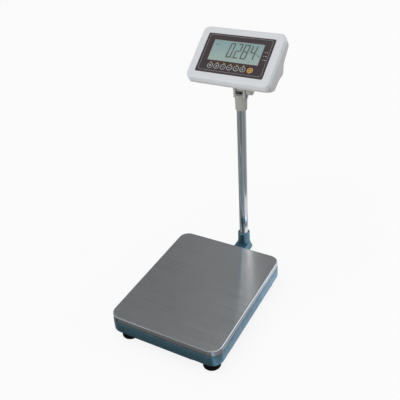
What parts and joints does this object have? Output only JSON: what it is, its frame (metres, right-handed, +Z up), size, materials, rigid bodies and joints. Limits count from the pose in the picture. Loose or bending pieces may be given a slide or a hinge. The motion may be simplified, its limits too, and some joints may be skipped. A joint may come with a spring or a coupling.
{
  "type": "bench platform scale",
  "caption": "Bench scale: a flat steel pan on a cast base with levelling feet, and a tilting display housing on a rear column.",
  "frame": {"origin": "centre of the box round the whole scale, on the floor under the feet", "axes": "+Z up, -Y towards the user in front of the pan, +X to the user's right"},
  "size_m": [0.302, 0.5126, 0.65],
  "materials": {
    "pan_steel": "fine straight brushing, side to side",
    "cast_paint": "dark blue-green hammer paint with a fine speckle",
    "rubber": "matt black",
    "zinc_steel": "bright zinc plate",
    "machined_aluminium": "machined",
    "cast_aluminium": "as cast",
    "column_steel": "polished tube",
    "head_plastic": "moulded mid grey",
    "housing_plastic": "moulded light grey, fine texture",
    "shell_plastic": "moulded warm grey, fine texture",
    "overlay_film": "printed polyester film, satin",
    "lcd_film": "grey-green display film",
    "key_film": "printed film, dark with a grey ring",
    "power_key_film": "printed film, orange",
    "lamp_plastic": "clear green lens",
    "dark_plastic": "moulded near black",
    "board": "green circuit board",
    "battery_case": "wrapped cell pack",
    "vial_plastic": "clear yellow-green"
  },
  "bodies": {
    "base": {"base_casting": "cast_paint", "load_cell": "machined_aluminium", "load_cell_bolt_1": "zinc_steel", "load_cell_bolt_2": "zinc_steel", "load_cell_bolt_3": "zinc_steel", "load_cell_bolt_4": "zinc_steel", "pan_support": "cast_aluminium", "pan_buffer_1": "rubber", "pan_buffer_2": "rubber", "pan_buffer_3": "rubber", "pan_buffer_4": "rubber", "bubble_level": "dark_plastic", "level_vial": "vial_plastic", "column_bracket": "cast_paint", "bracket_bolt_1": "zinc_steel", "bracket_bolt_2": "zinc_steel", "column_screw_1": "zinc_steel", "column_screw_2": "zinc_steel", "column_tube": "column_steel"},
    "pan": {"weighing_pan": "pan_steel"},
    "foot_1": {"foot_pad_1": "rubber", "foot_stud_1": "zinc_steel"},
    "foot_2": {"foot_pad_2": "rubber", "foot_stud_2": "zinc_steel"},
    "foot_3": {"foot_pad_3": "rubber", "foot_stud_3": "zinc_steel"},
    "foot_4": {"foot_pad_4": "rubber", "foot_stud_4": "zinc_steel"},
    "head": {"column_head": "head_plastic", "swivel_screw": "zinc_steel", "tilt_bolt": "zinc_steel", "tilt_washer": "dark_plastic"},
    "knob": {"tilt_knob": "head_plastic"},
    "indicator": {"front_bezel": "housing_plastic", "rear_shell": "shell_plastic", "display_overlay": "overlay_film", "lcd_glass": "lcd_film", "lcd_holder": "dark_plastic", "circuit_board": "board", "battery_pack": "battery_case", "status_lamp_1": "lamp_plastic", "status_lamp_2": "lamp_plastic", "status_lamp_3": "lamp_plastic", "cable_gland": "dark_plastic", "power_inlet": "dark_plastic", "tilt_bracket": "head_plastic", "flange_screw_1": "zinc_steel", "flange_screw_2": "zinc_steel", "housing_screw_1": "zinc_steel", "housing_screw_2": "zinc_steel", "housing_screw_3": "zinc_steel", "housing_screw_4": "zinc_steel"},
    "key_1": {"key_1": "key_film"},
    "key_2": {"key_2": "key_film"},
    "key_3": {"key_3": "key_film"},
    "key_4": {"key_4": "key_film"},
    "key_5": {"key_5": "key_film"},
    "key_6": {"key_6": "key_film"},
    "power_key": {"power_key": "power_key_film"}
  },
  "joints": [
    {"name": "pan_lift", "type": "slide", "parent": "base", "child": "pan", "axis": [0, 0, 1], "range_m": [0, 0.06]},
    {"name": "foot_1_height", "type": "slide", "parent": "base", "child": "foot_1", "axis": [0, 0, 1], "range_m": [-0.012, 0]},
    {"name": "foot_2_height", "type": "slide", "parent": "base", "child": "foot_2", "axis": [0, 0, 1], "range_m": [-0.012, 0]},
    {"name": "foot_3_height", "type": "slide", "parent": "base", "child": "foot_3", "axis": [0, 0, 1], "range_m": [-0.012, 0]},
    {"name": "foot_4_height", "type": "slide", "parent": "base", "child": "foot_4", "axis": [0, 0, 1], "range_m": [-0.012, 0]},
    {"name": "head_swivel", "type": "hinge", "parent": "base", "child": "head", "pos_m": [0, 0.20959, 0.512], "axis": [0, 0, 1], "range_deg": [-170, 170]},
    {"name": "indicator_tilt", "type": "hinge", "parent": "head", "child": "indicator", "pos_m": [0, 0.20959, 0.512], "axis": [1, 0, 0], "range_deg": [-20, 40]},
    {"name": "tilt_knob_turn", "type": "hinge", "parent": "head", "child": "knob", "pos_m": [0.024, 0.20959, 0.512], "axis": [1, 0, 0], "range_deg": [0, 360]},
    {"name": "key_1_press", "type": "slide", "parent": "indicator", "child": "key_1", "axis": [0, 0.6018, -0.7986], "range_m": [0, 0.0005], "stiffness_N_per_m": 1200},
    {"name": "key_2_press", "type": "slide", "parent": "indicator", "child": "key_2", "axis": [0, 0.6018, -0.7986], "range_m": [0, 0.0005], "stiffness_N_per_m": 1200},
    {"name": "key_3_press", "type": "slide", "parent": "indicator", "child": "key_3", "axis": [0, 0.6018, -0.7986], "range_m": [0, 0.0005], "stiffness_N_per_m": 1200},
    {"name": "key_4_press", "type": "slide", "parent": "indicator", "child": "key_4", "axis": [0, 0.6018, -0.7986], "range_m": [0, 0.0005], "stiffness_N_per_m": 1200},
    {"name": "key_5_press", "type": "slide", "parent": "indicator", "child": "key_5", "axis": [0, 0.6018, -0.7986], "range_m": [0, 0.0005], "stiffness_N_per_m": 1200},
    {"name": "key_6_press", "type": "slide", "parent": "indicator", "child": "key_6", "axis": [0, 0.6018, -0.7986], "range_m": [0, 0.0005], "stiffness_N_per_m": 1200},
    {"name": "power_key_press", "type": "slide", "parent": "indicator", "child": "power_key", "axis": [0, 0.6018, -0.7986], "range_m": [0, 0.0005], "stiffness_N_per_m": 1200}
  ]
}
